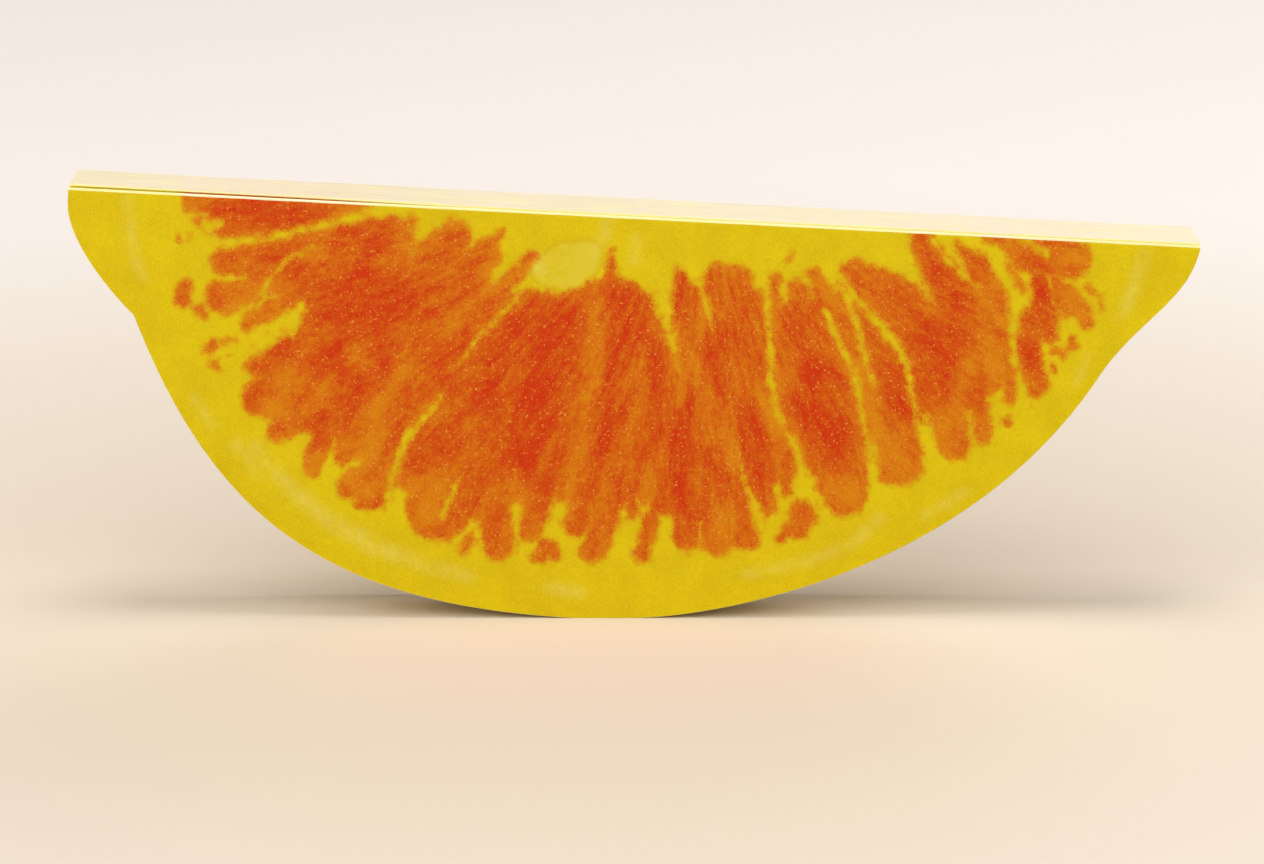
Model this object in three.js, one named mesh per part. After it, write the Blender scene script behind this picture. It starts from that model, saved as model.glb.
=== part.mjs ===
import * as THREE from 'three';

// A memo pad die-cut to the shape of half a citrus fruit, standing on its curved edge.
// Lengths are in mm. In the pad's own frame x runs along the straight bound edge, y from
// the cover back to the card, and z up, with the bound edge at z = 0.

// Outline. Each end is a small nub that meets the round belly at a neck.
const LENGTH = 120; // the bound edge, end to end
const DROP = 44.4; // from the bound edge down to the resting flat
const LEFT_END = 2; // the straight cut at the left end
const LEFT_NECK = { inset: 7.3, down: 13.4 };
const RIGHT_NECK = { inset: 9.4, down: 14.2 };
const REST_WIDTH = 6; // the short flat that the pad stands on
const REST_PLACE = 0.467; // its left end, as a share of the length: under the centre of mass
const LEAN = THREE.MathUtils.degToRad(3); // the right end stands this much lower

// Stack, from front to back.
const COVER_THICKNESS = 0.4;
const SHEET_COUNT = 49;
const SHEET_THICKNESS = 0.13;
const CARD_THICKNESS = 0.8;

// Air between neighbouring leaves. The sheets lie loose along most of the pad. At the left
// end they are pressed back against the card, so that the cover stands clear of them.
const LOOSE_AIR = 0.04;
const PRESSED_AIR = 0.025;
const PRESSED_FULL = 22; // fully pressed up to here, from the left end
const PRESSED_END = 44; // loose from here

// Dried glue over the bound edge, behind the cover.
const GLUE_THICKNESS = 0.2;
const GLUE_INSET = 0.4; // it stops this far short of both ends
const GLUE_AIR = 0.01; // between it and the bound edge

// Straight runs that each curve is divided into.
const NUB_STEPS = 5;
const BELLY_STEPS = 13;
const PRESSED_STEPS = 10;

const COLOURS = {
  cover: 0xe29a1c,
  sheet: 0xecc63a,
  card: 0xcdb892,
  glue: 0xf5ecd2,
};

// A point of the outline, from its distances right of the left end and below the bound edge.
function at(right, down) {
  return new THREE.Vector2(right - LENGTH / 2, -down);
}

// A Bezier curve whose pulls are shares of the way from start to end, across and down.
function curve(start, end, startPull, endPull, steps) {
  const span = end.clone().sub(start);
  const pullPoint = (pull) => start.clone().add(span.clone().multiply(new THREE.Vector2(...pull)));
  const bezier = new THREE.CubicBezierCurve(start, pullPoint(startPull), pullPoint(endPull), end);
  return bezier.getPoints(steps);
}

// The cut curve, from the lower left corner round under the fruit to the right tip.
// The flat is level once the pad leans, so here it climbs by the lean.
function cutCurve() {
  const leftNeck = at(LEFT_NECK.inset, LEFT_NECK.down);
  const rightNeck = at(LENGTH - RIGHT_NECK.inset, RIGHT_NECK.down);
  const restLeft = at(REST_PLACE * LENGTH, DROP);
  const flat = new THREE.Vector2(REST_WIDTH * Math.cos(LEAN), REST_WIDTH * Math.sin(LEAN));
  const restRight = restLeft.clone().add(flat);
  const leftNub = curve(at(0, LEFT_END), leftNeck, [0.04, 0.3], [0.5, 0.7], NUB_STEPS);
  const leftBelly = curve(leftNeck, restLeft, [0.184, 0.693], [0.434, 1], BELLY_STEPS);
  const rightBelly = curve(restRight, rightNeck, [0.18, 0.02], [0.74, 0.22], BELLY_STEPS);
  const rightNub = curve(rightNeck, at(LENGTH, 0), [0.39, 0.43], [0.93, 0.59], NUB_STEPS);
  return [...leftNub, ...leftBelly.slice(1), ...rightBelly, ...rightNub.slice(1)];
}

// Extra points on the bound edge, from right to left, so that the sheets can bend there.
function bendPoints() {
  const points = [];
  for (let i = PRESSED_STEPS; i > 0; i -= 1) {
    points.push(at((i / PRESSED_STEPS) * PRESSED_END, 0));
  }
  return points;
}

// A slab with the given outline, its front face at y = front.
function slab(points, front, thickness) {
  const shape = new THREE.Shape(points);
  const geometry = new THREE.ExtrudeGeometry(shape, { depth: thickness, bevelEnabled: false });
  geometry.rotateX(Math.PI / 2);
  geometry.translate(0, front + thickness, 0);
  return geometry;
}

// How much of the pressing is felt at x: all of it at the left end, none where loose.
function pressedShare(x) {
  const fromLeftEnd = x + LENGTH / 2;
  return 1 - THREE.MathUtils.smoothstep(fromLeftEnd, PRESSED_FULL, PRESSED_END);
}

function pressBack(geometry, distance) {
  const position = geometry.attributes.position;
  for (let i = 0; i < position.count; i += 1) {
    position.setY(i, position.getY(i) + distance * pressedShare(position.getX(i)));
  }
  geometry.computeVertexNormals();
  return geometry;
}

// A strip along the bound edge whose front side follows the pressed first sheet.
function glueStrip(front, back, distance) {
  const left = GLUE_INSET - LENGTH / 2;
  const right = LENGTH / 2 - GLUE_INSET;
  const pressedEnd = PRESSED_END - LENGTH / 2;
  const points = [new THREE.Vector2(right, back), new THREE.Vector2(left, back)];
  for (let i = 0; i <= PRESSED_STEPS; i += 1) {
    const x = THREE.MathUtils.lerp(left, pressedEnd, i / PRESSED_STEPS);
    points.push(new THREE.Vector2(x, front + distance * pressedShare(x)));
  }
  points.push(new THREE.Vector2(right, front));
  const strip = { depth: GLUE_THICKNESS, bevelEnabled: false };
  const geometry = new THREE.ExtrudeGeometry(new THREE.Shape(points), strip);
  geometry.translate(0, 0, GLUE_AIR);
  return geometry;
}

function piece(name, geometry, colour, roughness) {
  const material = new THREE.MeshStandardMaterial({ color: colour, roughness, metalness: 0 });
  const mesh = new THREE.Mesh(geometry, material);
  mesh.name = name;
  return mesh;
}

// Leans every piece, then stands the whole on z = 0 with its box centred on the z axis.
function stand(pieces) {
  const box = new THREE.Box3();
  for (const { geometry } of pieces) {
    geometry.rotateY(LEAN);
    geometry.computeBoundingBox();
    box.union(geometry.boundingBox);
  }
  const centre = box.getCenter(new THREE.Vector3());
  for (const { geometry } of pieces) {
    geometry.translate(-centre.x, -centre.y, -box.min.z);
  }
}

function build() {
  const outline = [at(0, 0), ...cutCurve()];
  const sheetOutline = [...outline, ...bendPoints()];
  const cover = slab(outline, 0, COVER_THICKNESS);
  const pieces = [piece('front_cover', cover, COLOURS.cover, 0.75)];

  const slack = LOOSE_AIR - PRESSED_AIR;
  const firstSheet = COVER_THICKNESS + LOOSE_AIR;
  let front = firstSheet;
  for (let i = 1; i <= SHEET_COUNT; i += 1) {
    const name = `sheet_${String(i).padStart(2, '0')}`;
    const leavesBehind = SHEET_COUNT + 1 - i;
    const sheet = slab(sheetOutline, front, SHEET_THICKNESS);
    pieces.push(piece(name, pressBack(sheet, leavesBehind * slack), COLOURS.sheet, 0.85));
    front += SHEET_THICKNESS + LOOSE_AIR;
  }
  pieces.push(piece('backing_card', slab(outline, front, CARD_THICKNESS), COLOURS.card, 0.9));

  const glue = glueStrip(firstSheet, front + CARD_THICKNESS, SHEET_COUNT * slack);
  pieces.push(piece('binding_glue', glue, COLOURS.glue, 0.45));
  stand(pieces);

  const pad = new THREE.Group();
  pad.name = 'citrus_memo_pad';
  pad.add(...pieces);
  return pad;
}

export default build();
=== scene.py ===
# A memo pad cut to the shape of half a citrus fruit and printed with its slice, standing on
# its curved edge. The file follows the pad from the front cover back to the card and the glue.
import math

import bmesh
import bpy
import numpy as np
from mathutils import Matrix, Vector


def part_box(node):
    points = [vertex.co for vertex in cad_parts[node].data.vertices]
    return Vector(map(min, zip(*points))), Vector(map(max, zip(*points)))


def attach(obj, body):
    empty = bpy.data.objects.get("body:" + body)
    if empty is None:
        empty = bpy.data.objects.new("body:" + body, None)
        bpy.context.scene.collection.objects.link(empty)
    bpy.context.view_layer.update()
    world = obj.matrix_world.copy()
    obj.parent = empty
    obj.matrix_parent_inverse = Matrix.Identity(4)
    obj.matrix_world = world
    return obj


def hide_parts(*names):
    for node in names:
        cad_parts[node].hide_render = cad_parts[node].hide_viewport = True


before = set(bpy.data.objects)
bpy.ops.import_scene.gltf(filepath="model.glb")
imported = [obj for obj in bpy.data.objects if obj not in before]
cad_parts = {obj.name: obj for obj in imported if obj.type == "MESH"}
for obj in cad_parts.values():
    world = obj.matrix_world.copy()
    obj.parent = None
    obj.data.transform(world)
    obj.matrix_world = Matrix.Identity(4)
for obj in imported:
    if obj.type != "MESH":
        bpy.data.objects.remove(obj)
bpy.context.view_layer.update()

scene = bpy.context.scene

# ---------------------------------------------------------------------------------------------
# Camera. It looks at the printed front square on, from a little above, so that the bound edge
# shows as a narrow strip along the top.
CAMERA_RISE = math.radians(13.94)
CAMERA_DISTANCE = 0.520
CAMERA_AIM = Vector((-0.0003, 0.0, 0.01954))
CAMERA_LENS = 137.15

camera = bpy.data.objects.new("camera", bpy.data.cameras.new("camera"))
scene.collection.objects.link(camera)
sight = Vector((0.0, -math.cos(CAMERA_RISE), math.sin(CAMERA_RISE)))
camera.location = CAMERA_AIM + CAMERA_DISTANCE * sight
camera.rotation_euler = sight.to_track_quat("Z", "Y").to_euler()
camera.data.lens = CAMERA_LENS
camera.data.sensor_width = 36.0
camera.data.clip_start = 0.01
camera.data.clip_end = 50.0
scene.camera = camera

# ---------------------------------------------------------------------------------------------
# Printed cover. A sheet of thin coated card, the whole front of the pad. The slice is printed
# right to the edges, and the card is then die-cut, so its cut edge shows the pale core.
MM = 0.001
LENGTH = 120.0          # the bound edge, end to end, in mm as are all sizes of the outline
DROP = 44.4             # from the bound edge down to the resting flat
LEFT_END = 2.0          # the straight cut at the left end
LEFT_NECK = (7.3, 13.4)         # where each end's nub meets the belly: right and down
RIGHT_NECK = (110.6, 14.2)
REST_LEFT = (0.467 * LENGTH, DROP)      # the left end of the flat that the pad stands on
REST_WIDTH = 6.0
LEAN = math.radians(3.0)        # the right end stands this much lower


def bezier(start, end, start_pull, end_pull, steps=400):
    """Points of a cubic Bezier curve whose two pulls are shares of the way from start to end,
    across and down: each point is the blend of the four by the Bernstein weights."""
    start, end = np.array(start), np.array(end)
    pull_a = start + (end - start) * start_pull
    pull_b = start + (end - start) * end_pull
    t = np.linspace(0.0, 1.0, steps)[:, None]
    s = 1.0 - t
    return s**3 * start + 3 * s * s * t * pull_a + 3 * s * t * t * pull_b + t**3 * end


def cut_line(count):
    """The pad's cut edge as distances right of the left end and below the bound edge: down the
    straight left end, round nub, belly, flat, belly and nub to the right tip, at even steps
    of length along the way."""
    rest_right = (REST_LEFT[0] + REST_WIDTH * math.cos(LEAN),
                  REST_LEFT[1] - REST_WIDTH * math.sin(LEAN))
    way = np.concatenate([
        [(0.0, 0.0)],
        bezier((0.0, LEFT_END), LEFT_NECK, (0.04, 0.3), (0.5, 0.7)),
        bezier(LEFT_NECK, REST_LEFT, (0.184, 0.693), (0.434, 1.0))[1:],
        bezier(rest_right, RIGHT_NECK, (0.18, 0.02), (0.74, 0.22)),
        bezier(RIGHT_NECK, (LENGTH, 0.0), (0.39, 0.43), (0.93, 0.59))[1:],
    ])
    run = np.concatenate([[0.0], np.cumsum(np.hypot(*np.diff(way, axis=0).T))])
    even = np.linspace(0.0, run[-1], count)
    return np.interp(even, run, way[:, 0]), np.interp(even, run, way[:, 1])


card_low, card_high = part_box("backing_card")
EDGE_X = card_high[0] - LENGTH / 2 * MM * math.cos(LEAN)    # the middle of the bound edge
EDGE_Z = card_high[2] - LENGTH / 2 * MM * math.sin(LEAN)


def stand(right, down, y):
    """Places in metres of points of the leaning pad: its own right and down directions are
    turned by the lean about the middle of the bound edge, and y passes straight through."""
    right, down = (right - LENGTH / 2) * MM, down * MM
    x = EDGE_X + right * math.cos(LEAN) - down * math.sin(LEAN)
    z = EDGE_Z - right * math.sin(LEAN) - down * math.cos(LEAN)
    return np.stack(np.broadcast_arrays(x, y, z), axis=-1)


def make_mesh(name, points, faces, values, smooth=False):
    """A mesh from points and faces, with a number for every point under each name in values.
    Points that lie on one another are merged, which closes the seams and ends."""
    mesh = bpy.data.meshes.new(name)
    mesh.from_pydata(points.reshape(-1, 3), [], faces)
    for label, numbers in values.items():
        numbers = np.asarray(numbers, dtype=np.float32)
        kind = "FLOAT_VECTOR" if numbers.ndim > points.ndim - 1 else "FLOAT"
        layer = mesh.attributes.new(label, kind, "POINT")
        layer.data.foreach_set("vector" if kind == "FLOAT_VECTOR" else "value", numbers.ravel())
    work = bmesh.new()
    work.from_mesh(mesh)
    bmesh.ops.remove_doubles(work, verts=work.verts, dist=1e-7)
    bmesh.ops.recalc_face_normals(work, faces=work.faces)
    work.to_mesh(mesh)
    work.free()
    mesh.polygons.foreach_set("use_smooth", [smooth] * len(mesh.polygons))
    piece = bpy.data.objects.new(name, mesh)
    scene.collection.objects.link(piece)
    return piece


def ring_faces(columns, rows):
    """Quads of a grid whose rows join up again after the last."""
    c, r = np.meshgrid(np.arange(columns - 1), np.arange(rows), indexing="ij")
    here, there = c * rows + r, c * rows + (r + 1) % rows
    return np.stack([here, there, there + rows, here + rows], axis=-1).reshape(-1, 4).tolist()


CORNER = 0.0012         # share of the way down that a leaf's rounded corner takes


def leaf_mesh(name, columns, front_rows, back_rows, front_y, back_y, printed="front"):
    """A leaf of the pad as one closed surface. Straight lines run from evenly spaced points of
    the bound edge to the points of the cut line; the section follows each line down the
    front, over the cut edge, up the back and over the bound edge. front_y and back_y give
    the two faces' places from the distance to the right. One face is printed; the number
    called bare is 0 there and 1 on the cut edges and the other face."""
    cut_right, cut_down = cut_line(columns)
    top_right = np.linspace(0.0, LENGTH, columns)
    bare_front, bare_back = (0.0, 1.0) if printed == "front" else (1.0, 0.0)
    front = [(t, 0.0, bare_front) for t in np.linspace(CORNER, 1.0 - CORNER, front_rows)]
    back = [(t, 1.0, bare_back) for t in np.linspace(1.0 - CORNER, CORNER, back_rows)]
    share, depth, bare = np.array(
        front + [(1.0, w, 1.0) for w in (0.1, 0.5, 0.9)]
        + back + [(0.0, w, 1.0) for w in (0.9, 0.5, 0.1)]).T
    right = top_right[:, None] + share * (cut_right - top_right)[:, None]
    down = share * cut_down[:, None]
    y = front_y(right) + depth * (back_y(right) - front_y(right))
    numbers = {"bare": np.broadcast_to(bare, right.shape), **drawing(right, down)}
    return make_mesh(name, stand(right, down, y), ring_faces(columns, len(share)), numbers)


def stroke(right, down, points):
    """How far inside a brush stroke each place lies, in mm, negative outside: the stroke runs
    straight between its points (right, down, half width), and its width changes evenly."""
    inside = np.full(right.shape, -60.0)
    points = points if len(points) > 1 else points * 2
    for (r0, d0, w0), (r1, d1, w1) in zip(points, points[1:]):
        run, fall = r1 - r0, d1 - d0
        t = ((right - r0) * run + (down - d0) * fall) / max(run * run + fall * fall, 1e-9)
        t = np.clip(t, 0.0, 1.0)
        gap = np.hypot(right - r0 - t * run, down - d0 - t * fall)
        inside = np.maximum(inside, w0 + t * (w1 - w0) - gap)
    return inside


def deepest(right, down, strokes):
    """How far inside the deepest of several strokes each place lies, in mm."""
    return np.maximum.reduce([stroke(right, down, one) for one in strokes])


def patch(right, down, corners):
    """How far inside a straight-sided patch each place lies: the distance to the nearest side,
    counted positive where a level line to the left crosses an odd number of sides."""
    closed = corners + corners[:1]
    edge = -stroke(right, down, [(r, d, 0.0) for r, d in closed])
    odd = np.zeros(right.shape, dtype=bool)
    for (r0, d0), (r1, d1) in zip(closed, closed[1:]):
        spans = (d0 > down) != (d1 > down)
        odd ^= spans & (right > r0 + (down - d0) * (r1 - r0) / (d1 - d0 + 1e-9))
    return np.where(odd, edge, -edge)


# The drawing of the slice, in mm right of the left end and below its own top line, which is
# trimmed off by BLEED. Strokes are (right, down, half width).
BLEED = 0.5
FLESH_BODY = [
    (25, 8), (30, 5.5), (38, 5.5), (44, 7), (46, 9.5), (49.5, 8.8), (52.5, 9.4), (55.5, 7.6),
    (57, 7.2), (60, 7.4), (62, 8.8), (66, 8), (70, 6.5), (73, 7.6), (78, 8.5), (82, 7.2),
    (85, 5.6), (88, 6.8), (91, 8.5), (95, 8), (99.3, 9), (100, 13), (100.2, 17), (98, 18.8),
    (95.5, 20.8), (92, 20.5), (90.5, 24.5), (88.8, 24.5), (87, 22), (85.8, 28), (83.5, 29.5),
    (81.5, 28.5), (79, 26.8), (77, 28.5), (75, 30.5), (73.5, 33), (67, 34), (65.3, 33.2),
    (61, 31.5), (58.5, 34), (56, 33), (53, 31.8), (51, 33), (49, 32.5), (46, 34.5),
    (42, 34.5), (39, 34), (36.5, 31.5), (33.5, 31), (30, 29.5), (28, 27), (25.5, 25.5),
    (22, 23), (21.5, 20), (24, 16), (25.5, 12.5)]
FLESH_LOBES = [
    # Along the bound edge, left and right.
    [(16.8, 0, 4.9), (20, 0, 4.7), (25, 0, 3.4), (30, 0, 1.7), (32, 0, 0.8)],
    [(90, -1, 1.4), (90.5, 1.8, 1.3), (92.7, 5, 1.9), (95, 8, 2.5)],
    [(94.2, 1.7, 0.45), (96.6, 4, 1.4), (98.3, 8, 1.9), (98.4, 12, 2)],
    [(97.7, 0.2, 1.1), (100.2, 1, 1.5), (101.8, 2.4, 2.1), (106.4, 2.6, 2.1)],
    # The left side, from the top down.
    [(16.9, 7.7, 1.6), (22, 6.9, 1.8), (25, 6.4, 2.3), (28, 5.6, 2.4), (34.3, 4.3, 2.6)],
    [(16.7, 11.4, 1.9), (20.5, 9.6, 1.7), (26, 8.5, 2)],
    [(25, 10.6, 0.9), (21.8, 12.5, 1.05), (19.4, 14.2, 0.75)],
    [(27, 16, 2.5), (23, 20, 2.3), (21.3, 22.2, 2.2)], [(23, 16.6, 1.8), (21, 18.6, 1.8)],
    [(28, 20, 2), (24.4, 24, 2.3), (23.4, 25.6, 1.4)],
    [(30, 22, 1.8), (27.1, 28.4, 1.3), (26.9, 29.7, 1)], [(33, 29, 2.8), (33.2, 31.9, 2.2)],
    [(32, 30.6, 1.8), (30.8, 31.5, 1.3)], [(12.6, 10.4, 0.75), (12.3, 11.8, 0.95)],
    [(14.3, 13, 0.6), (14.8, 13.3, 0.4)], [(15.4, 17.2, 0.5), (16, 16.6, 0.5)],
    [(16.7, 16.2, 0.35), (18, 15.9, 0.35)],
    [(15.8, 18.9, 0.4), (16.9, 18.8, 0.55), (17.4, 18.4, 0.4)], [(11.8, 5.3, 0.15)],
    [(12.9, 5, 0.2)],
    # Upper ends beside the core.
    [(35.6, 2.7, 0.7), (36.4, 2.1, 0.6)], [(41, 3.6, 1.9), (39, 6, 2.4)],
    [(44.4, 5.2, 1.7), (42, 9, 3)], [(45.3, 3.9, 0.5), (46.3, 2.6, 0.15)],
    [(49.3, 5.2, 0.5), (47.8, 7.2, 0.8), (45.5, 10, 1.2)],
    [(57.8, 4.4, 0.25), (57.8, 6, 0.6), (57.6, 8, 1)], [(64.6, 7, 1.3), (65.6, 10, 1.8)],
    [(68.9, 6.4, 1.3), (69, 10, 2)], [(71, 6.9, 1.8), (71.5, 10, 2)],
    [(75.1, 6.4, 0.6), (75.3, 9.5, 0.9)], [(77.5, 7.4, 1.1), (78, 10, 2)],
    [(79.3, 5.7, 0.7), (81, 8.5, 1.2)], [(83.6, 5.6, 1.8), (87, 7.2, 2.2), (90.5, 9, 2.4)],
    [(76.2, 4.4, 0.12), (76.9, 3.4, 0.05)],
    # The bottom, from left to right.
    [(44, 24, 3), (41.5, 30, 3.4), (40.5, 33.6, 3.4)], [(44.3, 36.6, 0.6), (43.5, 37.7, 0.6)],
    [(46.5, 30, 1.9), (46.8, 35, 1.8), (47.2, 37, 1.8)],
    [(51.8, 28, 1.7), (50.9, 34, 1.5), (50.5, 35.6, 1.1)], [(52.5, 37.2, 1.1), (51.6, 38.3, 0.8)],
    [(52.5, 37.2, 1.1), (53.3, 37.9, 0.7)], [(57, 28, 1.9), (55.5, 34.5, 1.55)],
    [(59, 30, 1.8), (58.2, 34, 1.7), (57.4, 36.9, 1.6)], [(61.3, 30, 1), (61.3, 33.2, 0.6)],
    [(63.9, 31, 1), (63.2, 34.5, 0.95), (62.6, 37.3, 0.95)], [(67.3, 30, 1.6), (67.4, 35.3, 1.5)],
    [(70.5, 30, 2), (70.6, 35.3, 1.8)], [(73.5, 31, 1.6), (73.7, 34.9, 1.5)],
    [(73, 20, 2), (75.6, 31.2, 1.2)], [(77.5, 27, 1.4), (77.8, 29.4, 0.6)],
    [(79.5, 31.7, 1.2), (78.4, 33.7, 0.8), (77.4, 34.9, 0.5)], [(80, 32.2, 1.2), (79.4, 33.8, 1)],
    [(82, 12, 3), (83.6, 25, 3.1), (83.8, 29, 2.9)], [(88, 17, 2.2), (89.8, 25.8, 2.5)],
    [(88.6, 26.6, 1.6)], [(93.2, 16, 2), (95.4, 23.4, 1.9)], [(97.5, 17, 1.2), (98.4, 22.4, 0.8)],
    [(100.2, 12, 0.7), (100.9, 18, 0.7)],
    # The right side.
    [(102.2, 9.4, 1.2), (102.6, 13.4, 1.55), (103.7, 16.4, 1.4)],
    [(103.2, 4.6, 1), (103.9, 8.2, 1.4), (104.7, 11, 1)],
    [(104.8, 5.2, 0.8), (106, 6.8, 1.5), (107.6, 8.2, 1.4), (108.5, 9.4, 0.7)],
    [(99.6, 3.6, 0.3), (101.4, 6, 0.5)],
    [(105.4, 12.6, 0.4), (106.3, 12.9, 0.45), (107.1, 12, 0.5), (107.2, 11.2, 0.3)],
    [(109.9, 6.4, 0.22), (110, 7.8, 0.22)], [(108.3, 5.5, 0.22), (108.8, 6.2, 0.2)],
    [(105.1, 14.1, 0.28), (105.6, 14.9, 0.22)], [(103.1, 18.7, 0.25)], [(100.8, 20.7, 0.5)]]
MEMBRANES = [
    [(16.2, 15.1, 0.5), (19.2, 12.8, 0.25), (20.8, 10.8, 0.16), (21.9, 8.8, 0.1),
     (23, 7.3, 0.1), (24.6, 6.1, 0.2), (26.5, 5.2, -0.1)],
    [(15, 9.2, 0.5), (17, 9.4, 0.35), (19, 9.2, 0.05)], [(12.6, 2.8, 0.3), (14.6, 2.5, 0.05)],
    [(14.9, 3.9, 0.7), (16, 3.5, 0.3)], [(13.3, 5.3, 0.4), (14.5, 4.7, 0.1)],
    [(24.6, 12.2, 0.1), (22.4, 14.8, 0.9), (21, 16.4, 0.75), (19.2, 17.4, 0.8), (17.4, 18.6, 1)],
    [(29.2, 26.3, 0.05), (28.7, 28.5, 0.4), (28.2, 31, 0.8)],
    [(30.4, 29.4, 0.15), (31.8, 28.7, 0.3)],
    [(36.8, 3.2, 0.3), (37.6, 3.3, 0.5), (38.6, 2.3, 0.5)], [(43.2, 2, 0.8), (43.1, 3.6, 0.2)],
    [(47.2, 4.2, 0.7), (46.5, 6.8, 0.1)],
    [(49.2, 8, 0.2), (48.5, 9, 0.15), (47, 11, 0.18), (45, 13.2, 0.14), (43, 15.7, 0.12),
     (42, 17.5, -0.2)],
    [(40.4, 21, -0.05), (39.4, 22.6, 0.25), (37, 25.3, 0.4), (36, 28, 0.33), (35.3, 31, 0.3),
     (35.2, 33.4, 0.55)], [(42.6, 30, 0.05), (41.8, 32, 0.3), (41, 34.3, 0.15)],
    [(43.1, 36.4, 0.25), (42.7, 37.8, 0.5)],
    [(48.9, 34.4, 0.05), (48.9, 35.6, 0.16), (49.3, 37.8, 0.4)],
    [(53.4, 32.5, 0.25), (53.5, 34.5, 0.35), (54.2, 36.6, 0.4)],
    [(51.2, 36.6, 0.25), (52.4, 35.2, 0.28), (53.3, 33.9, 0.2)],
    [(57, 34.4, 0.1), (56, 36.2, 0.25), (55.2, 38.4, 0.5)],
    [(60.6, 33, 0.1), (60.3, 35, 0.32), (60, 38, 0.7)],
    [(63.1, 31.6, 0.05), (62.3, 33.5, 0.22), (61.4, 36, 0.4)],
    [(65, 34.2, 0.1), (65, 35.6, 0.3), (65, 38, 0.7)],
    [(72.3, 25, -0.1), (73.3, 29, 0.2), (74.5, 31.5, 0.4), (75.6, 33.8, 0.9)],
    [(62.6, 2, 2.4), (62.9, 6, 1.5), (63.3, 9, 1), (64, 12, 0.5), (65, 15, 0.2),
     (65.6, 17, -0.1)],
    [(66.8, 4.3, 0.5), (67.1, 7, 0.16), (67.9, 9.5, 0.14), (68.9, 12.4, 0.02)],
    [(74.1, 6, 0.3), (74.4, 9, 0.3), (74.8, 12, 0.3), (75.3, 15, 0.22), (75.4, 17.5, 0.4),
     (76, 20.5, 0.3), (77, 22.7, 0.12), (78.5, 24.5, 0.22), (79.2, 27.5, 0.35),
     (80.5, 29.3, 0.4), (82.2, 31.7, 0.5)], [(76.2, 5.6, 0.3), (76.3, 8.8, 0.05)],
    [(78.3, 6.6, 0.3)],
    [(80.7, 9.5, 0.2), (82, 12.3, 0.28), (83.5, 14.8, 0.25), (84.5, 17, 0.38), (85, 19, 0.25),
     (85.5, 21.5, 0.15), (86.3, 24, 0.4), (87, 27, 0.6), (87.4, 30, 0.9)],
    [(80.9, 4.6, 0.3), (83, 8, 0.25), (84, 10.5, 0.3), (84.8, 13, 0.25), (85.6, 15.5, 0.1),
     (86.5, 17.5, -0.1)],
    [(82, 5.6, 0.3), (84.5, 8.6, 0.28), (86.5, 10.7, 0.36), (88.3, 12.6, 0.42),
     (89.7, 15, 0.25), (90.5, 18, 0.22), (91.3, 21, 0.3), (92.3, 23.5, 0.5), (93, 26, 0.8),
     (93.5, 29, 1.3)], [(96.2, 19.5, 0.05), (97.3, 22.5, 0.3), (97.9, 25, 0.5)],
    [(87.6, 2.6, 0.9), (89.2, 4.6, 0.7), (90.5, 6.1, 0.35), (92.3, 8.2, 0)],
    [(91.6, 1.2, 0.35), (93, 3, 0.26), (95, 4.8, 0.24), (96.8, 6.3, 0.1)],
    [(98.6, 2.6, 0.25), (100, 5.4, 0.35), (100.9, 8, 0.75), (100.8, 11.2, 0.35),
     (101.2, 14, 0.25), (102.2, 17, 0.6), (102.6, 19, 1)],
    [(100.1, 0.3, 0.25), (102, 1, 0.35), (103.8, 2.2, 0.1)], [(106.8, 9.8, 0.9)]]
SEED = [(51.2, 6.7, 1.8), (53, 6.2, 2.6), (54.6, 5.4, 2), (55.4, 4.6, 1.2)]
DEEP_STREAKS = [
    [(29, 4.2, 1), (31.5, 4, 0.6)], [(32.8, 8.5, 1.2)], [(33.5, 18, 0.8), (31, 22.5, 1)],
    [(28, 22, 0.8), (27, 26, 0.9)], [(40, 25, 0.8), (38, 29, 1)],
    [(44.5, 12, 0.6), (42.5, 15, 0.5)], [(48, 13, 1.2), (45, 20, 1)],
    [(49.5, 9.8, 0.6), (47.5, 14, 0.6)], [(52, 12, 2.2), (51, 20, 2.4), (49, 27, 1.8)],
    [(58.5, 9, 0.6), (58.8, 17, 0.7)], [(58.2, 21, 0.6), (57.4, 25.8, 0.9)],
    [(62.8, 14, 0.6), (62.7, 20, 0.8)], [(66.6, 21, 0.6), (66.3, 33, 1)],
    [(65.2, 7.5, 0.6), (65.2, 10, 0.5)], [(72, 20, 0.8), (74.5, 28, 1)],
    [(92, 4, 0.8), (95, 8, 1)], [(88, 15, 0.8), (90, 20, 0.8)], [(92, 12, 1.5), (94, 16, 1)],
    [(102.4, 12, 0.6), (103, 15, 0.6)], [(103.6, 7, 0.5), (104.4, 10.5, 0.5)],
    [(80, 17, 2), (82, 24, 1.8)], [(17, 1.8, 1.2), (24, 1.8, 1.2)], [(33, 4, 0.9), (28.5, 13, 1)],
    [(30.5, 14, 0.9), (26, 21, 1)], [(24, 14.6, 0.6), (22, 18.5, 0.5)],
    [(66.6, 25, 1), (66.2, 34, 1)], [(22, 7, 0.7), (24.5, 6.5, 0.6)], [(31, 12, 2), (35, 10, 2)],
    [(61, 9, 0.5), (60, 14, 0.6)], [(70, 13, 0.8), (69.5, 17, 0.6)],
    [(52.5, 27, 0.7), (52, 33, 0.5)]]
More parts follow.
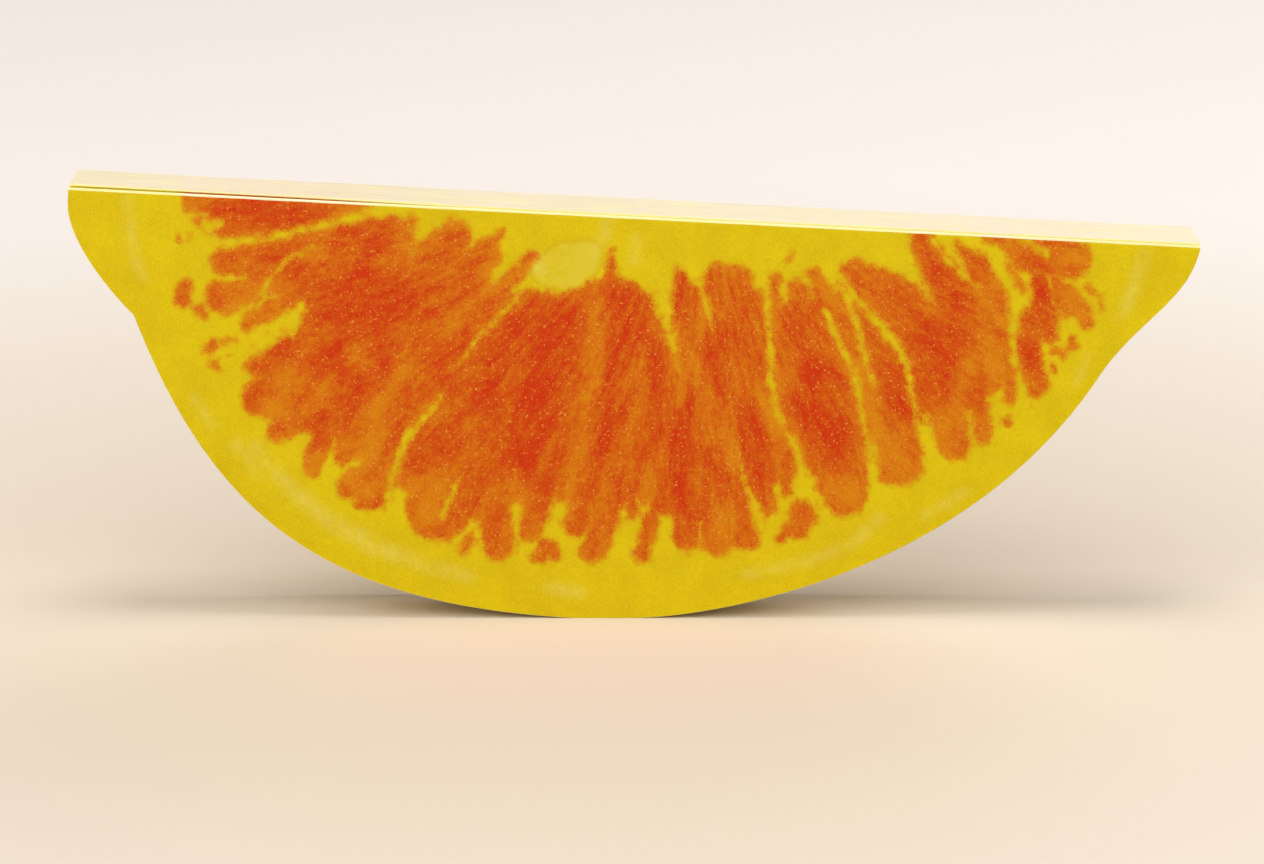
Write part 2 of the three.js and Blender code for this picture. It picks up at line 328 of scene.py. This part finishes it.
LIGHT_STREAKS = [
    [(56.3, 8, 0.5), (56.7, 12, 0.7), (56.5, 17, 0.8), (56, 22, 0.8), (55.5, 26, 0.7),
     (54.5, 30, 0.7), (53.8, 33, 0.7)], [(24, 20, 1.5), (22.6, 23, 1.4)],
    [(24, 24, 1), (24.4, 26, 1)], [(20.6, 13.4, 0.8), (22, 12.4, 0.6)],
    [(17.6, 12.2, 0.6), (20, 10.6, 0.6)], [(26.9, 29.6, 0.9), (27, 28, 0.5)],
    [(84, 15.4, 0.9), (86.4, 19.6, 0.9)], [(95, 24, 1.2), (94, 22, 0.6)],
    [(28, 20.5, 0.9), (26, 23, 0.8)], [(31, 17, 0.9), (32.4, 18.4, 0.5)],
    [(33, 26, 1.4), (31, 30.5, 1.4), (33, 32, 1)],
    [(36.4, 18, 0.4), (34, 22, 0.6), (31, 27, 0.8)], [(39, 31, 1.8), (39.5, 34, 1.5)],
    [(43, 11, 0.5), (40.6, 14, 0.4)], [(48.5, 28.5, 0.5), (49, 33, 0.7)],
    [(68.3, 10, 0.3), (66.6, 15, 0.4), (68.6, 20, 0.7), (69, 24, 0.6)],
    [(71, 14, 0.4), (71.5, 22, 0.4), (72, 27, 0.5)],
    [(64.8, 12, 0.3), (65.2, 15, 0.4), (65.7, 20, 0.3)],
    [(61.6, 15, 0.3), (61.5, 21, 0.3), (60.5, 24, 0.5)],
    [(74.5, 19, 0.5), (76.5, 22.5, 0.9), (78.6, 25, 0.6)], [(82.5, 29, 1.2), (84.5, 29.5, 1.4)],
    [(85.5, 17, 0.6), (87, 22, 0.9), (88, 25, 0.7)], [(89, 24, 1.4), (90, 26.5, 1.4)],
    [(98, 11, 0.8), (99.5, 17, 0.8)], [(96.5, 14, 0.7), (95, 20, 0.6), (93.8, 22.5, 0.5)],
    [(98.8, 5.5, 0.4), (97, 6.5, 0.3), (99.4, 10, 0.4)], [(106, 2.4, 0.8), (107.6, 2.8, 0.7)],
    [(106, 7, 0.8), (108, 8.8, 0.5)], [(13, 2, 0.7), (14.6, 3.4, 0.7)],
    [(29, 1.2, 0.9), (31, 0.8, 0.5)], [(36, 4.5, 0.7), (38.6, 4, 0.4)],
    [(46, 5, 0.6), (44.5, 7.5, 0.4)], [(63, 28, 0.7), (63.4, 31, 0.5)],
    [(99.4, 3.6, 0.8), (101.4, 6.2, 0.8)], [(104.8, 12.9, 0.5), (107, 12, 0.5)],
    [(75, 8, 0.4), (75.6, 12, 0.2)], [(80, 6.2, 0.8), (82.4, 9.5, 0.5)],
    [(25, 6.5, 0.3), (27, 6.3, 0.3)], [(17, 10.5, 0.5), (19, 9.8, 0.3)],
    [(71, 32, 0.7), (71, 36, 0.7)]]
PALE_MARKS = [
    [(6.4, 1.5, 0.3), (6.7, 5.9, 0.35), (7.7, 8.6, 0.35), (8.2, 9.8, 0.1)],
    [(114.2, 1.5, 0.4), (113.5, 4.5, 0.4), (112.5, 7.7, 0.4), (112, 8.7, 0.1)],
    [(108.9, 13, 0.05), (108, 16, 0.05)],
    [(20.5, 27.5, 0.3), (24.5, 32, 0.7), (29, 35.5, 0.7), (34, 38, 0.9), (39, 39.8, 0.5),
     (44, 40.8, 0.5)], [(53, 41.6, 0.4), (56, 42, 0.5)],
    [(74, 39, 0.3), (80, 37.4, 0.35), (85, 35.2, 0.35), (88, 32, 0.3)],
    [(57.3, 0.8, 0.35), (56.8, 2.8, 0.4), (55.9, 4.6, 0.2)], [(49.7, 5.3, 0.3), (50, 6.6, 0.5)],
    [(60.2, 3, 0.3), (60.1, 5, 0.4)], [(18.6, 27.5, 0.3), (21, 30.5, 0.3)],
    [(14, 22.5, 0.2), (16, 25.5, 0.2)], [(93, 31.5, 0.3), (97, 28.6, 0.2)]]
CORE = (66.0, -6.0)     # the place that the segments fan out from
RIM_WIDTH = 0.9         # the flesh is paler this near to its edge, in mm


def drawing(right, down):
    """The printed slice at each place. flesh is how far inside the flesh, in mm: the deepest of
    the body and its lobes, less the deepest of the membranes cut into them. tone runs from 0,
    orange, to 1, deep red: an even tone, raised on the deep streaks and lowered on the light
    ones and near the flesh's edge. pale marks the pith, seed is how far inside the seed, and
    below how far below the bound edge. fan holds the angle about the core and the distance
    from it."""
    down = down + BLEED
    seed = stroke(right, down, SEED)
    flesh = np.maximum(patch(right, down, FLESH_BODY), deepest(right, down, FLESH_LOBES))
    flesh = np.minimum(flesh, -np.maximum(deepest(right, down, MEMBRANES), seed + 0.1))

    def soft(strokes, width):
        return np.clip(0.5 + deepest(right, down, strokes) / (2 * width), 0.0, 1.0)

    rim = np.exp(-np.clip(flesh, 0.0, None) / RIM_WIDTH)
    tone = 0.6 + 0.3 * soft(DEEP_STREAKS, 1.5) - 0.38 * soft(LIGHT_STREAKS, 0.9) - 0.25 * rim
    angle = np.arctan2(right - CORE[0], down - CORE[1])
    reach = np.hypot(right - CORE[0], down - CORE[1])
    return {"flesh": np.clip(flesh, -6.0, 6.0), "tone": tone, "pale": soft(PALE_MARKS, 0.8),
            "seed": np.clip(seed, -4.0, 4.0), "below": down - BLEED,
            "fan": np.stack([angle, reach, 0 * reach], axis=-1)}


class Wire:
    """A value in a material. Arithmetic with numbers or other values adds Math nodes."""

    def __init__(self, board, socket):
        self.board, self.socket = board, socket

    def _math(self, operation, first, second):
        return self.board.node("Math", {"operation": operation}, {0: first, 1: second})

    def __add__(self, other):
        return self._math("ADD", self, other)

    def __sub__(self, other):
        return self._math("SUBTRACT", self, other)

    def __rsub__(self, other):
        return self._math("SUBTRACT", other, self)

    def __mul__(self, other):
        return self._math("MULTIPLY", self, other)

    __radd__, __rmul__ = __add__, __mul__


class NodeBoard:
    """A node tree, and the ways in which this file adds to it."""

    def __init__(self, tree):
        self.tree = tree

    def feed(self, socket, value):
        if isinstance(value, Wire):
            self.tree.links.new(value.socket, socket)
        else:
            socket.default_value = value

    def node(self, kind, settings=None, sockets=None, out=0):
        made = self.tree.nodes.new("ShaderNode" + kind)
        for key, value in (settings or {}).items():
            setattr(made, key, value)
        for key, value in (sockets or {}).items():
            self.feed(made.inputs[key], value)
        return Wire(self, made.outputs[out])

    def number(self, label):
        return self.node("Attribute", {"attribute_name": label}, out="Fac")

    def noise(self, vector, scale, detail=2.0, roughness=0.5):
        return self.node("TexNoise", {}, {"Vector": vector, "Scale": scale, "Detail": detail,
                                          "Roughness": roughness}, out="Fac")

    def between(self, value, low, high, start=0.0, end=1.0):
        return self.node("MapRange", {"interpolation_type": "SMOOTHSTEP"},
                         {"Value": value, "From Min": low, "From Max": high,
                          "To Min": start, "To Max": end})

    def mix(self, share, first, second):
        return self.node("Mix", {"data_type": "RGBA"}, {0: share, 6: first, 7: second}, out=2)

    def stretch(self, vector, x, y, z):
        return self.node("VectorMath", {"operation": "MULTIPLY"}, {0: vector, 1: (x, y, z)})

    def object_place(self):
        return self.node("TexCoord", out="Object")


class Finish(NodeBoard):
    """A material under construction, around one Principled shader."""

    def __init__(self, name, roughness, shine):
        self.material = bpy.data.materials.new(name)
        self.material.use_nodes = True
        super().__init__(self.material.node_tree)
        self.shader = self.tree.nodes["Principled BSDF"]
        self.shader.inputs["Roughness"].default_value = roughness
        self.shader.inputs["Specular IOR Level"].default_value = shine

    def colour(self, value):
        self.feed(self.shader.inputs["Base Color"], value)

    def roughness(self, value):
        self.feed(self.shader.inputs["Roughness"], value)

    def relief(self, height, distance):
        bump = self.node("Bump", {}, {"Height": height, "Distance": distance, "Strength": 1.0})
        self.feed(self.shader.inputs["Normal"], bump)


def ink(red, green, blue):
    """A colour as light, from its red, green and blue out of 255 as printed charts give them."""
    parts = np.array([red, green, blue]) / 255.0
    light = np.where(parts <= 0.04045, parts / 12.92, ((parts + 0.055) / 1.055) ** 2.4)
    return (*light.tolist(), 1.0)


def print_colour(finish, place):
    """The slice in ink. The flesh's edge is its distance roughened by noise about a millimetre
    across; juice cells streak outwards from the core, and a fine dot grain lies over all."""
    grain = finish.noise(place, 5200.0, 2.0, 0.75) - 0.5
    ragged = finish.noise(place, 900.0, 4.0, 0.62) - 0.5
    flesh = finish.between(finish.number("flesh") + ragged * 1.9 + grain * 1.1, -0.62, 0.44)
    fan = finish.node("Attribute", {"attribute_name": "fan"}, out="Vector")
    streak = finish.noise(finish.stretch(fan, 26.0, 0.22, 1.0), 1.0, 3.0, 0.6) - 0.5
    cells = finish.noise(finish.stretch(fan, 90.0, 0.9, 1.0), 1.0, 2.0, 0.55) - 0.5
    blotch = finish.noise(place, 260.0, 2.0) - 0.5
    mottle = finish.noise(place, 1250.0, 3.0, 0.72) - 0.5
    speck = finish.between(finish.noise(place, 3400.0, 1.0), 0.63, 0.75)

    tone = finish.number("tone") + streak * 1.15 + cells * 0.5 + blotch * 0.5
    tone = tone + mottle * 0.9 + grain * 0.9
    juice = finish.mix(finish.between(tone, -0.1, 1.1), ORANGE_INK, RED_INK)
    juice = finish.mix(finish.between(grain, 0.02, 0.22) * 0.3, juice, GRAIN_INK)
    juice = finish.mix(speck * 0.7, juice, SPECK_INK)
    peel_tone = blotch * 0.9 + grain * 2.0 + mottle * 0.7 + 0.5
    peel = finish.mix(finish.between(peel_tone, 0.0, 1.0), YELLOW_INK_DARK, YELLOW_INK_LIGHT)
    pale = finish.number("pale") * finish.between(finish.noise(place, 600.0, 4.0, 0.7), 0.2, 0.75)
    seed = finish.between(finish.number("seed") + ragged * 0.8, -0.3, 0.5)
    rind = finish.between(finish.number("seed") + ragged * 0.5, -0.55, 0.05) - seed
    peel = finish.mix(rind * 0.18, peel, GRAIN_INK)
    peel = finish.mix(seed * finish.between(mottle + blotch, -0.3, 0.25, 0.35, 1.0), peel, SEED_INK)
    peel = finish.mix(pale * 0.5, peel, PITH_INK)
    return finish.mix(flesh, peel, juice)


YELLOW_INK_LIGHT = ink(218, 194, 6)
YELLOW_INK_DARK = ink(201, 173, 2)
ORANGE_INK = ink(208, 128, 2)
RED_INK = ink(196, 46, 0)
SPECK_INK = ink(224, 150, 60)
GRAIN_INK = ink(150, 92, 0)
SEED_INK = ink(212, 190, 50)
PITH_INK = ink(224, 206, 104)
FACE_GLINT_DEPTH = 0.15             # a painted highlight along the bound edge of the printed face, in mm down
CORE_STOCK = ink(255, 251, 226)    # the uncoated middle of the card where it is cut
CORE_STAINED = ink(252, 244, 172)  # the same, yellowed by the ink beside it
FRONT_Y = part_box("front_cover")[0][1]
BACK_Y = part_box("front_cover")[1][1]

coated = Finish("coated_print", roughness=0.5, shine=0.12)
place = coated.object_place()
picture = print_colour(coated, place)
fibre = coated.noise(coated.stretch(place, 300.0, 4000.0, 300.0), 1.0, 3.0)
over_flesh = coated.between(coated.number("flesh"), -1.0, 1.0)
edge_colour = coated.mix(fibre * over_flesh, CORE_STAINED, CORE_STOCK)
# Painted highlight: the cut edge's pale colour laid on the face in a thin band just under the bound
# edge, where the corner catches the light.
face_glint = coated.between(coated.number("below") + (fibre - 0.5) * 0.1, FACE_GLINT_DEPTH, FACE_GLINT_DEPTH + 0.08, 1.0, 0.0)
picture = coated.mix(face_glint * 0.9, picture, edge_colour)
coated.colour(coated.mix(coated.number("bare"), picture, edge_colour))
tooth = coated.noise(place, 5200.0, 3.0, 0.6)
coated.roughness(coated.between(tooth, 0.2, 0.8, 0.46, 0.62))
coated.relief(tooth, 0.00001)

cover = leaf_mesh("printed_cover", 470, 165, 5, lambda right: FRONT_Y + 0 * right,
                  lambda right: BACK_Y + 0 * right)
cover.data.materials.append(coated.material)
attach(cover, "root")
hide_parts("front_cover")

# ---------------------------------------------------------------------------------------------
# First sheet. Writing paper with the same slice on it. At the left end the sheets are pressed
# back to the card, so this sheet's print shows in the gap behind the cover.
FIRST_LOW, FIRST_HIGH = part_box("sheet_01")
PAPER = 0.13 * MM       # the thickness of one sheet
PRESSED_FULL = 22.0     # fully pressed up to here, from the left end
PRESSED_END = 44.0      # loose from here


def pressed(right):
    """How much of the pressing is felt: all of it up to PRESSED_FULL from the left end, none
    past PRESSED_END, with a smooth step between."""
    t = np.clip((right - PRESSED_FULL) / (PRESSED_END - PRESSED_FULL), 0.0, 1.0)
    return 1.0 - t * t * (3.0 - 2.0 * t)


def first_front(right):
    """The first sheet's front face: its box's front, moved back by the share of the pressing."""
    return FIRST_LOW[1] + (FIRST_HIGH[1] - PAPER - FIRST_LOW[1]) * pressed(right)


soft_print = Finish("paper_print", roughness=0.6, shine=0.12)
place = soft_print.object_place()
picture = print_colour(soft_print, place)
fibre = soft_print.noise(soft_print.stretch(place, 400.0, 9000.0, 400.0), 1.0, 3.0)
edge_colour = soft_print.mix(fibre, ink(247, 228, 120), ink(252, 242, 190))
soft_print.colour(soft_print.mix(soft_print.number("bare"), picture, edge_colour))
tooth = soft_print.noise(place, 3800.0, 3.0, 0.65)
soft_print.roughness(soft_print.between(tooth, 0.2, 0.8, 0.55, 0.75))
soft_print.relief(tooth, 0.000015)

sheet = leaf_mesh("first_sheet", 260, 90, 5, first_front, lambda right: first_front(right) + PAPER)
sheet.data.materials.append(soft_print.material)
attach(sheet, "root")
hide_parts("sheet_01")

# ---------------------------------------------------------------------------------------------
# Sheet stack. The other forty-eight sheets, die-cut together, so their edges make one ribbed
# wall. Each edge is a low rounded ridge, and a thin dark line of painted shade parts it from the
# next.
STACK_SHEETS = 48
RIDGE = 0.05            # how far a sheet's edge stands out of the gaps beside it
WANDER = 0.035          # how unevenly the sheets are jogged
ROW_PLACES = (0.04, 0.16, 0.5, 0.84)    # the rows across each sheet, as shares of its thickness
INSIDE = (0.99, 0.985)  # the print's tint is read this share of the way out to the cut line
SECOND_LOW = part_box("sheet_02")[0]
LAST_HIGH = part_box("sheet_49")[1]


def stack_mesh(name, columns, top_columns):
    """The ribbed wall as a closed band: columns run round the outline and back along the bound
    edge, rows cross the sheets from front to back. A row's place across a sheet sets how far
    it stands out, by one less the sixth power of its distance from the sheet's middle. Along
    the bound edge, where the glue holds them, the sheets are level."""
    cut_right, cut_down = cut_line(columns)
    right = np.concatenate([cut_right, np.linspace(LENGTH, 0.0, top_columns + 2)[1:-1]])
    down = np.concatenate([cut_down, np.zeros(top_columns)])
    ahead = np.stack([np.roll(right, -1) - np.roll(right, 1), np.roll(down, -1) - np.roll(down, 1)])
    ahead = ahead / np.hypot(*ahead)
    out = np.stack([-ahead[1], ahead[0]])
    out[:, columns:] = 0.0
    leaf = np.add.outer(np.arange(STACK_SHEETS), ROW_PLACES).ravel()
    leaf = np.append(leaf, STACK_SHEETS - ROW_PLACES[0])
    across = 2 * (leaf % 1.0) - 1
    number = np.floor(leaf)
    jog = WANDER * (np.sin(number * 12.9) + np.sin(number * 4.1 + 1.0)) / 2
    stand_out = RIDGE * (1 - np.abs(across) ** 6) - RIDGE + jog - WANDER
    share = leaf / STACK_SHEETS
    slack = (FIRST_HIGH[1] - PAPER - FIRST_LOW[1]) * STACK_SHEETS / (STACK_SHEETS + 1)
    y = (SECOND_LOW[1] + (LAST_HIGH[1] - SECOND_LOW[1]) * share
         + slack * pressed(right)[:, None] * (1 - share))
    places = stand(right[:, None] + out[0][:, None] * stand_out,
                   down[:, None] + out[1][:, None] * stand_out, y)
    rows, around = len(leaf), len(right)
    c, r = np.meshgrid(np.arange(around), np.arange(rows - 1), indexing="ij")
    here, there = c * rows + r, (c + 1) % around * rows + r
    faces = np.stack([here, here + 1, there + 1, there], axis=-1).reshape(-1, 4).tolist()
    faces += [(np.arange(around) * rows).tolist(), (np.arange(around) * rows + rows - 1).tolist()]
    shape = (around, rows)
    along = np.arange(around)[:, None] * np.ones(rows)
    middle = LENGTH / 2
    look = drawing(middle + (right[:, None] - middle) * INSIDE[0], down[:, None] * INSIDE[1])
    values = {"leaf": np.broadcast_to(leaf, shape), "along": along,
              "flesh": np.broadcast_to(look["flesh"], shape)}
    return make_mesh(name, places, faces, values, smooth=True)


edges = Finish("sheet_edges", roughness=0.75, shine=0.25)
leaf = edges.number("leaf")
place = edges.object_place()
part_of_leaf = edges.node("Math", {"operation": "FRACT"}, {0: leaf})
nearness = edges.node("Math", {"operation": "ABSOLUTE"}, {0: part_of_leaf - 0.5})
# Painted shade: a dark line laid in the groove between each two sheets' edges.
gap = edges.between(nearness, 0.34, 0.5)
own = edges.node("TexWhiteNoise", {"noise_dimensions": "1D"},
                 {"W": edges.node("Math", {"operation": "FLOOR"}, {0: leaf})})
run = edges.node("CombineXYZ", {}, {0: edges.number("along") * 0.02, 1: leaf * 0.8})
band = edges.noise(run, 1.0, 3.0)
tint = edges.between(own * 0.6 + band * 0.7, 0.3, 1.0)
paper = edges.mix(tint, ink(246, 226, 120), ink(251, 243, 212))
stain = edges.between(edges.number("flesh"), -0.6, 0.6)
paper = edges.mix(stain * 0.35, paper, ink(240, 170, 120))
paper = edges.mix(gap * 0.75, paper, ink(176, 138, 30))
fibre = edges.noise(place, 3500.0, 3.0)
edges.colour(edges.mix(fibre * 0.25, paper, ink(232, 214, 150)))
edges.relief(fibre, 0.00002)

stack = stack_mesh("sheet_stack", 400, 60)
stack.data.materials.append(edges.material)
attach(stack, "root")
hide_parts(*[f"sheet_{i:02d}" for i in range(2, STACK_SHEETS + 2)])

# ---------------------------------------------------------------------------------------------
# Backing card. Stiff board that the sheets are laid on, faced with the same print, seen in
# mirror from behind because it is cut in the same stroke as the front.
card_print = Finish("board_print", roughness=0.62, shine=0.12)
place = card_print.object_place()
picture = print_colour(card_print, place)
layers = card_print.noise(card_print.stretch(place, 250.0, 5200.0, 250.0), 1.0, 3.0)
board = card_print.mix(layers, ink(196, 172, 128), ink(232, 214, 176))
card_print.colour(card_print.mix(card_print.number("bare"), picture, board))
tooth = card_print.noise(place, 3000.0, 3.0, 0.65)
card_print.roughness(card_print.between(tooth, 0.2, 0.8, 0.55, 0.75))
card_print.relief(tooth, 0.00002)

CARD_FRONT_Y = card_low[1]
CARD_BACK_Y = card_high[1]
card = leaf_mesh("backing_card_printed", 400, 5, 140, lambda right: CARD_FRONT_Y + 0 * right,
                 lambda right: CARD_BACK_Y + 0 * right, "back")
card.data.materials.append(card_print.material)
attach(card, "root")
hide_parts("backing_card")

# ---------------------------------------------------------------------------------------------
# Binding glue. A film of white padding glue brushed over the bound edge behind the cover. It
# dries over the sheets' edges, so they show through it as fine lines.
GLUE_BACK_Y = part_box("binding_glue")[1][1]
GLUE_INSET = 0.05       # how far short of each end the film stops, in mm
GLUE_AIR = 0.01         # between it and the bound edge
END_ROUND = 0.02        # the film's ends are crisp: their corners take up no more than this
FILM = 0.15             # its thickness between leaves, without the swells
RIPPLE = 0.05           # how much thicker it is over a leaf's middle
SWELLS = [              # height, turn per mm along the edge, turn across the pad, start
    (0.0176, 0.21, 0.0, 1.3), (0.0128, 0.57, 9.0, 0.0), (0.0096, 1.31, 23.0, 0.0)]
THINNEST = 0.01
READ_DOWN = 0.3         # the print's tint is read this far below the bound edge


def glue_mesh(name, columns):
    """The film as a closed bar: columns run along the bound edge, and the section crosses the
    leaves over the top and comes back underneath. The top dips between leaves by the root of
    a sine, rounds off at both sides, and swells slowly along the edge by a sum of sines."""
    ends = GLUE_INSET + np.array([0.0, END_ROUND])
    right = np.concatenate([ends, np.linspace(ends[1], LENGTH - ends[1], columns)[1:-1],
                            LENGTH - ends[::-1]])[:, None]
    leaves = STACK_SHEETS + 1
    leaf = np.linspace(0.0, leaves + 4.0, 4 * (leaves + 4) + 1)
    share = leaf / leaf[-1]
    swell = sum(height * np.sin(right * along + share * across + start)
                for height, along, across, start in SWELLS)
    over_leaf = 0.4 + 0.6 * np.abs(np.sin(np.pi * leaf)) ** 0.5
    edge = np.clip(np.minimum(share, 1 - share) * 24, 0, 1) ** 0.5
    height = edge * (FILM + RIPPLE * over_leaf + swell)
    front = first_front(right)
    y_top = front + (GLUE_BACK_Y - front) * share
    top = stand(right, -GLUE_AIR - np.clip(height, THINNEST, None), y_top)
    under_share = np.array([0.97, 0.5, 0.03])
    under = stand(right, -GLUE_AIR - 0 * under_share, front + (GLUE_BACK_Y - front) * under_share)
    places = np.concatenate([top, under], axis=1)
    rows = places.shape[1]
    columns = len(right)
    leaf_all = np.broadcast_to(np.append(leaf, [leaf[-1], leaf[-1] / 2, 0]), (columns, rows))
    look = drawing(right, 0 * right + READ_DOWN)
    values = {"leaf": leaf_all, "along": np.broadcast_to(right, (columns, rows)),
              "flesh": np.broadcast_to(look["flesh"], (columns, rows))}
    faces = ring_faces(columns, rows)
    faces += [list(range(rows)), list(range((columns - 1) * rows, columns * rows))]
    return make_mesh(name, places, faces, values, smooth=True)


film = Finish("dried_glue", roughness=0.42, shine=0.4)
leaf = film.number("leaf")
along = film.number("along")
run = film.node("CombineXYZ", {}, {0: along * 0.05, 1: leaf * 0.9})
lines = film.noise(run, 1.0, 4.0, 0.7)
run = film.node("CombineXYZ", {}, {0: along * 0.22, 1: leaf * 0.06})
cloud = film.noise(run, 1.0, 2.0)
warm = film.mix(film.between(lines, 0.32, 0.68), ink(221, 203, 165), ink(236, 224, 194))
warm = film.mix(film.between(cloud, 0.45, 0.75) * 0.35, warm, ink(238, 230, 150))
first_leaf = film.between(leaf, 0.8, 2.0, 0.75, 0.0)
warm = film.mix(first_leaf, warm, ink(244, 222, 110))
stain = film.between(film.number("flesh") + (lines - 0.5) * 4.0, -2.5, 2.5)
warm = film.mix(stain * 0.22, warm, ink(234, 206, 188))
film.colour(warm)
film.roughness(film.between(lines, 0.3, 0.7, 0.34, 0.52))
film.relief(lines, 0.00003)

glue = glue_mesh("glue_film", 300)
glue.data.materials.append(film.material)
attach(glue, "root")
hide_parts("binding_glue")

# ---------------------------------------------------------------------------------------------
# Floor and light. A wide pale floor, warmer close to the pad, under an even sky that is bright
# near the horizon. One lamp hangs overhead, a large one fills from the front and a small one
# from behind.
FLOOR_RADIUS = 0.95
FLOOR_WARM = ink(222, 208, 188)
FLOOR_PALE = ink(242, 233, 226)
floor_mesh = bpy.data.meshes.new("floor")
turn = np.linspace(0.0, 2 * np.pi, 96, endpoint=False)
rim = np.stack([FLOOR_RADIUS * np.cos(turn), FLOOR_RADIUS * np.sin(turn), 0 * turn], axis=-1)
floor_mesh.from_pydata(rim.tolist(), [], [list(range(len(rim)))])
floor = bpy.data.objects.new("floor", floor_mesh)
scene.collection.objects.link(floor)
ground = Finish("pale_floor", roughness=0.6, shine=0.2)
place = ground.object_place()
reach = ground.node("VectorMath", {"operation": "LENGTH"}, {0: place}, out="Value")
ground.colour(ground.mix(ground.between(reach, 0.06, 0.26), FLOOR_WARM, FLOOR_PALE))
floor.data.materials.append(ground.material)

HORIZON_SKY = 0.92      # the sky's brightness up to 0.05 above the horizon
HIGH_SKY = 0.165        # and from 0.13 up
world = bpy.data.worlds.new("studio")
world.use_nodes = True
air = NodeBoard(world.node_tree)
sky = air.tree.nodes["Background"]
sky.inputs["Color"].default_value = ink(250, 244, 238)
height = air.node("SeparateXYZ", {}, {0: air.node("TexCoord", out="Generated")}, out="Z")
level = air.node("Math", {"operation": "ABSOLUTE"}, {0: height})
air.feed(sky.inputs["Strength"], air.between(level, 0.05, 0.13, HORIZON_SKY, HIGH_SKY))
scene.world = world


def lamp(name, place, aim, size, power):
    """A round lamp of a size in metres and a power in watts, turned from its place to its aim."""
    light = bpy.data.lights.new(name, "AREA")
    light.shape, light.size, light.energy = "DISK", size, power
    made = bpy.data.objects.new(name, light)
    made.location = place
    made.rotation_euler = (Vector(place) - Vector(aim)).to_track_quat("Z", "Y").to_euler()
    scene.collection.objects.link(made)


lamp("overhead", (0.0, -0.1, 1.6), (0, 0, 0.02), 0.6, 11.5)
lamp("front_fill", (-0.3, -1.15, 1.2), (0, 0, 0.02), 2.2, 28.5)
lamp("back_fill", (0.6, 1.5, 0.9), (0, 0, 0.02), 1.2, 8.5)
scene.view_settings.view_transform = "Standard"
